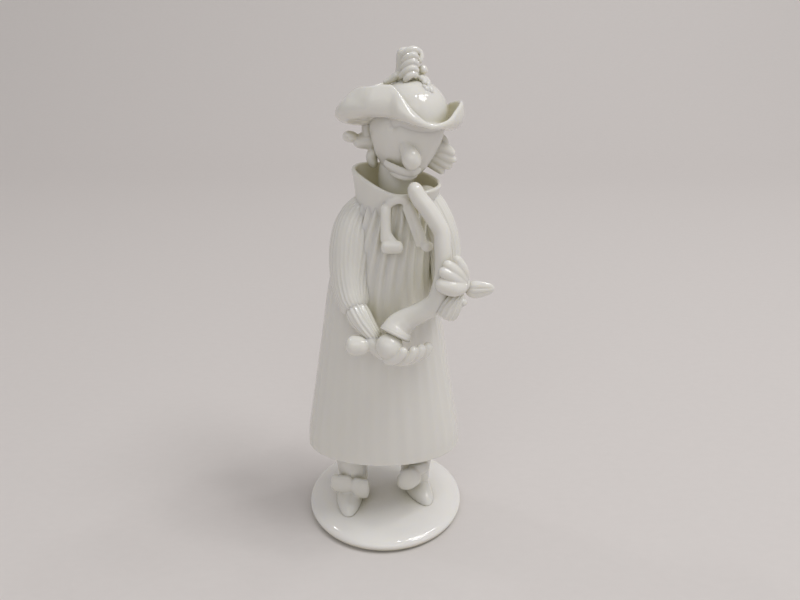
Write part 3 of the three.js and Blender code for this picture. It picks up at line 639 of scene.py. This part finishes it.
def brim_shell():
    """The brim leaves the crown, droops, folds outwards and turns up to a thin rounded rim."""
    angle = np.linspace(-180, 180, BRIM_SIDES, endpoint=False)
    ends = [station[0] for station in BRIM] + [BRIM[0][0] + 360]
    way = np.interp(angle, ends, np.arange(len(ends)) / len(BRIM))
    _, droop, bulge, rim_radius, rim_height = smooth_line(BRIM, way, closed=True).T
    section = np.stack([
        np.stack([0 * droop + BRIM_INNER_RADIUS, droop / 2], -1),
        np.stack([0 * droop + BRIM_UNDER_RADIUS, droop], -1),
        np.stack([bulge, droop * BRIM_FOLD_DROOP - BRIM_FOLD_DROP], -1),
        np.stack([rim_radius, rim_height], -1),
    ])
    t = np.linspace(0, BRIM_EDGE, BRIM_STEPS)[:, None, None]
    along = ((1 - t) ** 3 * section[0] + 3 * (1 - t) ** 2 * t * section[1]
             + 3 * (1 - t) * t ** 2 * section[2] + t ** 3 * section[3])
    tangent = unit(3 * (1 - t) ** 2 * (section[1] - section[0]) + 6 * (1 - t) * t * (section[2] - section[1])
                   + 3 * t ** 2 * (section[3] - section[2]))
    normal = np.stack([tangent[..., 1], -tangent[..., 0]], -1)
    half = BRIM_WALL / 2
    turn = ROLLED_EDGE[:, None]
    rim = along[-1] + half * (normal[-1] * np.cos(turn) + tangent[-1] * np.sin(turn))
    rings = np.concatenate([along + half * normal, rim, (along - half * normal)[::-1]])
    a = np.radians(angle)
    points = np.stack([rings[..., 0] * np.cos(a), rings[..., 0] * np.sin(a), rings[..., 1]], -1)
    return skin(points + HAT_CENTRE, "joined")


def hat():
    crown = ball(CROWN_CENTRE, CROWN_RADII, sides=96, rings=64)
    return pressed(melted("hat", [brim_shell(), crown], grain=0.65, softening=5), HAT_DENTS)


def plume():
    strands = [tube(loop, wide=FRONT_TO_BACK) for loop in PLUME_LOOPS + PLUME_TRAIL]
    return melted("plume", strands, grain=0.3, softening=2)


# Hands

def right_hand():
    return melted("right_hand", [
        ball(PALM_BALL[:3], PALM_BALL[3]),
        tube(RIGHT_PALM, wide=FRONT_TO_BACK),
        tube(RIGHT_THUMB_ROOT, wide=FRONT_TO_BACK),
        tube(RIGHT_THUMB, wide=FRONT_TO_BACK, edges=RIGHT_THUMB_ENDS),
        *[tube(finger, wide=FRONT_TO_BACK) for finger in RIGHT_FINGERS],
    ], grain=0.36, softening=3)


def left_hand():
    return melted("left_hand", [
        tube(LEFT_PALM, wide=FRONT_TO_BACK),
        *[tube(finger, wide=FRONT_TO_BACK) for finger in LEFT_FINGERS],
        tube(LEFT_WRIST_BEAD),
    ], grain=0.3, softening=2)


def left_thumb():
    """A pinched leaf of glass with two grooves drawn along it."""
    def grooves(way, angle):
        from_groove = np.minimum(*(abs(np.cos(angle) - place) for place in THUMB_GROOVE_PLACES))
        return soft_bump(from_groove, *THUMB_GROOVE) * np.sin(math.pi * way)
    leaf = tube(LEFT_THUMB, sides=96, rings=60, wide=UPRIGHT, flat=LEFT_THUMB_FLAT, groove=grooves)
    return glass_piece("left_thumb", [leaf])


# Legs and shoes

def shoe_shell(heel, turn):
    """A pointed shoe: an egg drawn out towards the toe, cut flat where it stands."""
    forward = np.array([math.sin(math.radians(turn)), -math.cos(math.radians(turn)), 0])
    across = np.array([-forward[1], forward[0], 0])
    roll = np.linspace(0, math.pi, 41)[:, None]
    angle = np.linspace(-math.pi, math.pi, 48, endpoint=False)[None, :]
    along = (1 - np.cos(roll)) / 2
    side = np.sin(roll) * np.cos(angle) * (SHOE_WIDTH / 2) * (
        SHOE_TAPER["heel_width"] - SHOE_TAPER["toe_width"] * along)
    height = np.sin(roll) * np.sin(angle) * SHOE_HEIGHT * (
        SHOE_TAPER["heel_height"] - SHOE_TAPER["toe_height"] * along)
    points = (np.array([heel[0], heel[1], 0]) + SHOE_LENGTH * along[..., None] * forward
              + side[..., None] * across)
    points[..., 2] = DISC_THICKNESS + np.maximum(0, height)
    return skin(points)


def foot(name, leg, heel, turn, bow, ends):
    """A leg in its shoe, with the bow on top."""
    loops = [tube(loop, wide=UPRIGHT, flat=BOW_FLAT, edges=end) for loop, end in zip(bow, ends)]
    shells = [tube(leg, sides=40, rings=40), shoe_shell(heel, turn), *loops]
    return melted(name, shells, grain=0.5, softening=5, replaced=("lower_figure",))


# The glass

def linear(sheet_colour):
    """An sRGB hex colour as linear red, green, blue and alpha."""
    parts = [int(sheet_colour[i:i + 2], 16) / 255 for i in (1, 3, 5)]
    return [p / 12.92 if p <= 0.04045 else ((p + 0.055) / 1.055) ** 2.4 for p in parts] + [1.0]


def node(tree, kind, settings=(), links=()):
    """Adds a node with its settings and its incoming links."""
    made = tree.nodes.new(kind)
    for name, value in dict(settings).items():
        if name in made.inputs:
            made.inputs[name].default_value = value
        else:
            setattr(made, name, value)
    for name, source in dict(links).items():
        tree.links.new(source, made.inputs[name])
    return made


# Painted shade: base colours by how shut in a place is, olive in hollows and joints, white in the open
FIGURE_PAINTED_SHADE_TONES = [(0.0, "#cfcbae"), (0.35, "#dddacf"), (0.75, "#e8e6e1")]
# Painted shadow and painted reflection: the disc's base colours, darker and olive where the coat overhangs it
DISC_PAINTED_SHADE_TONES = [(0.0, "#857f60"), (0.25, "#b3ae94"), (0.4, "#e6e3dc"), (0.7, "#efedea")]


def opal_glass_material(name, reach, painted_shade_tones):
    """Opal glass, worked in the flame and left as it cooled: milky white, with a wet-looking skin.

    Light goes a few millimetres in. The base colour is painted shade: it runs from olive, where a place is
    shut in by glass within the reach, to the white of an open one, so hollows and joints are painted olive.
    """
    material = bpy.data.materials.new(name)
    material.use_nodes = True
    tree = material.node_tree
    tree.nodes.clear()
    # Painted shade: ambient occlusion picks the base colour from the ramp below, olive where glass shuts a
    # place in
    shelter = node(tree, "ShaderNodeAmbientOcclusion", {"samples": 10, "Distance": reach * MM})
    depth = node(tree, "ShaderNodeValToRGB", links={"Fac": shelter.outputs["AO"]})
    ramp = depth.color_ramp
    while len(ramp.elements) < len(painted_shade_tones):
        ramp.elements.new(0.5)
    for element, (position, colour) in zip(ramp.elements, painted_shade_tones):
        element.position = position
        element.color = linear(colour)
    place = node(tree, "ShaderNodeTexCoord")
    ripple = node(tree, "ShaderNodeTexNoise", {"Scale": 1 / (16 * MM), "Detail": 0.0},
                  {"Vector": place.outputs["Object"]})
    skin_bump = node(tree, "ShaderNodeBump", {"Strength": 0.3, "Distance": 0.15 * MM},
                     {"Height": ripple.outputs["Fac"]})
    glass = node(tree, "ShaderNodeBsdfPrincipled", {
        "Roughness": 0.06, "IOR": 1.5, "Subsurface Weight": 0.5,
        "Subsurface Radius": (1.0, 0.95, 0.75), "Subsurface Scale": 4 * MM,
    }, {"Base Color": depth.outputs["Color"], "Normal": skin_bump.outputs["Normal"]})
    node(tree, "ShaderNodeOutputMaterial", links={"Surface": glass.outputs["BSDF"]})
    return material


def paper_material():
    """A pale paper backdrop, matt and slightly warm."""
    material = bpy.data.materials.new("backdrop_paper")
    material.use_nodes = True
    tree = material.node_tree
    tree.nodes.clear()
    fibre = node(tree, "ShaderNodeTexNoise", {"Scale": 900.0, "Detail": 3.0})
    tone = node(tree, "ShaderNodeValToRGB", links={"Fac": fibre.outputs["Fac"]})
    tone.color_ramp.elements[0].color = linear("#dcd7d5")
    tone.color_ramp.elements[1].color = linear("#e0dbd9")
    paper = node(tree, "ShaderNodeBsdfPrincipled", {"Roughness": 0.6}, {"Base Color": tone.outputs["Color"]})
    node(tree, "ShaderNodeOutputMaterial", links={"Surface": paper.outputs["BSDF"]})
    return material


# Floor, light and camera

def backdrop():
    """A floor that sweeps up behind the figure."""
    half_width = 4.0
    front = -2.5
    sweep_from = 1.0
    radius = 0.9
    top = 4.0
    rise = np.linspace(0, math.pi / 2, 24)
    depth = np.concatenate([[front], sweep_from + radius * np.sin(rise), [sweep_from + radius]])
    height = np.concatenate([[0], radius - radius * np.cos(rise), [top]])
    points = [[x, y, z] for y, z in zip(depth, height) for x in (-half_width, half_width)]
    faces = [[2 * i, 2 * i + 1, 2 * i + 3, 2 * i + 2] for i in range(len(depth) - 1)]
    mesh = bpy.data.meshes.new("backdrop")
    mesh.from_pydata(points, [], faces)
    mesh.shade_smooth()
    mesh.materials.append(paper_material())
    sweep = bpy.data.objects.new("backdrop", mesh)
    bpy.context.scene.collection.objects.link(sweep)


def area_light(name, place, aim, size, power):
    """A white rectangular light, with its power in watts."""
    lamp = bpy.data.lights.new(name, "AREA")
    lamp.shape = "RECTANGLE"
    lamp.size, lamp.size_y = size
    lamp.energy = power
    holder = bpy.data.objects.new(name, lamp)
    holder.location = place
    holder.rotation_euler = (Vector(aim) - Vector(place)).to_track_quat("-Z", "Y").to_euler()
    bpy.context.scene.collection.objects.link(holder)


def studio():
    """A pale room with a window, a panel in front, a row of small lamps and one more far off."""
    world = bpy.data.worlds.new("room")
    world.use_nodes = True
    world.node_tree.nodes["Background"].inputs["Color"].default_value = linear("#f4f2f0")
    world.node_tree.nodes["Background"].inputs["Strength"].default_value = 0.43
    bpy.context.scene.world = world
    bpy.context.scene.view_settings.view_transform = "Standard"
    area_light("window", place=(1.5, -0.5, 2.9), aim=(0, 0, 0.1), size=(1.0, 1.0), power=26)
    area_light("front_panel", place=(-0.2, -1.9, 1.8), aim=(0, 0, 0.15), size=(2.4, 1.2), power=8)
    lamp_count = 5
    for i in range(lamp_count):
        place = (0.4 + 0.25 * i, -0.4 + 0.2 * i, 2.2)
        area_light(f"lamp_{i}", place, aim=(0, 0, 0.2), size=(0.14, 0.14), power=1.6)
    area_light("far_lamp", place=(-1.36, 0.63, 2.2), aim=(0, 0, 0.1), size=(0.16, 0.16), power=2)


def camera():
    """The camera stands a little above the figure and looks down at it, as in the photo."""
    looks_down = 24.1
    lens = bpy.data.cameras.new("camera")
    lens.lens = 31.5
    lens.sensor_width = 36
    lens.clip_start = 0.01
    view = bpy.data.objects.new("camera", lens)
    view.location = (0.0107, -0.4165, 0.3494)
    view.rotation_euler = (math.radians(90 - looks_down), 0, 0)
    bpy.context.scene.collection.objects.link(view)
    bpy.context.scene.camera = view


disc()
coat()
sleeve("right_sleeve", RIGHT_SLEEVE, 0.0)
sleeve("left_sleeve", LEFT_SLEEVE, 2.0)
cuff("right_cuff", RIGHT_CUFF, 0.5)
cuff("left_cuff", LEFT_CUFF, 1.5)
horn()
collar_and_ties()
head()
lip()
left_hair()
hair("right_hair", RIGHT_LOCKS)
hat()
plume()
right_hand()
left_hand()
left_thumb()
foot("right_foot", RIGHT_LEG, RIGHT_HEEL, RIGHT_TURN, RIGHT_BOW, RIGHT_BOW_ENDS)
foot("left_foot", LEFT_LEG, LEFT_HEEL, LEFT_TURN, LEFT_BOW, LEFT_BOW_ENDS)

# Painted olive shade in the figure's hollows and joints, gathered within 50 mm
figure_glass = opal_glass_material("opal_glass", 50, FIGURE_PAINTED_SHADE_TONES)
# Painted shadow and painted reflection on the disc: its olive shade gathers within 130 mm, so the coat's
# shadow and dark inside show under the hem
disc_glass = opal_glass_material("opal_glass_disc", 130, DISC_PAINTED_SHADE_TONES)
for piece, replaced in pieces:
    piece.data.materials.clear()
    piece.data.materials.append(disc_glass if "base_disc" in replaced else figure_glass)
    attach(piece, "root")
    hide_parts(*replaced)

backdrop()
studio()
camera()
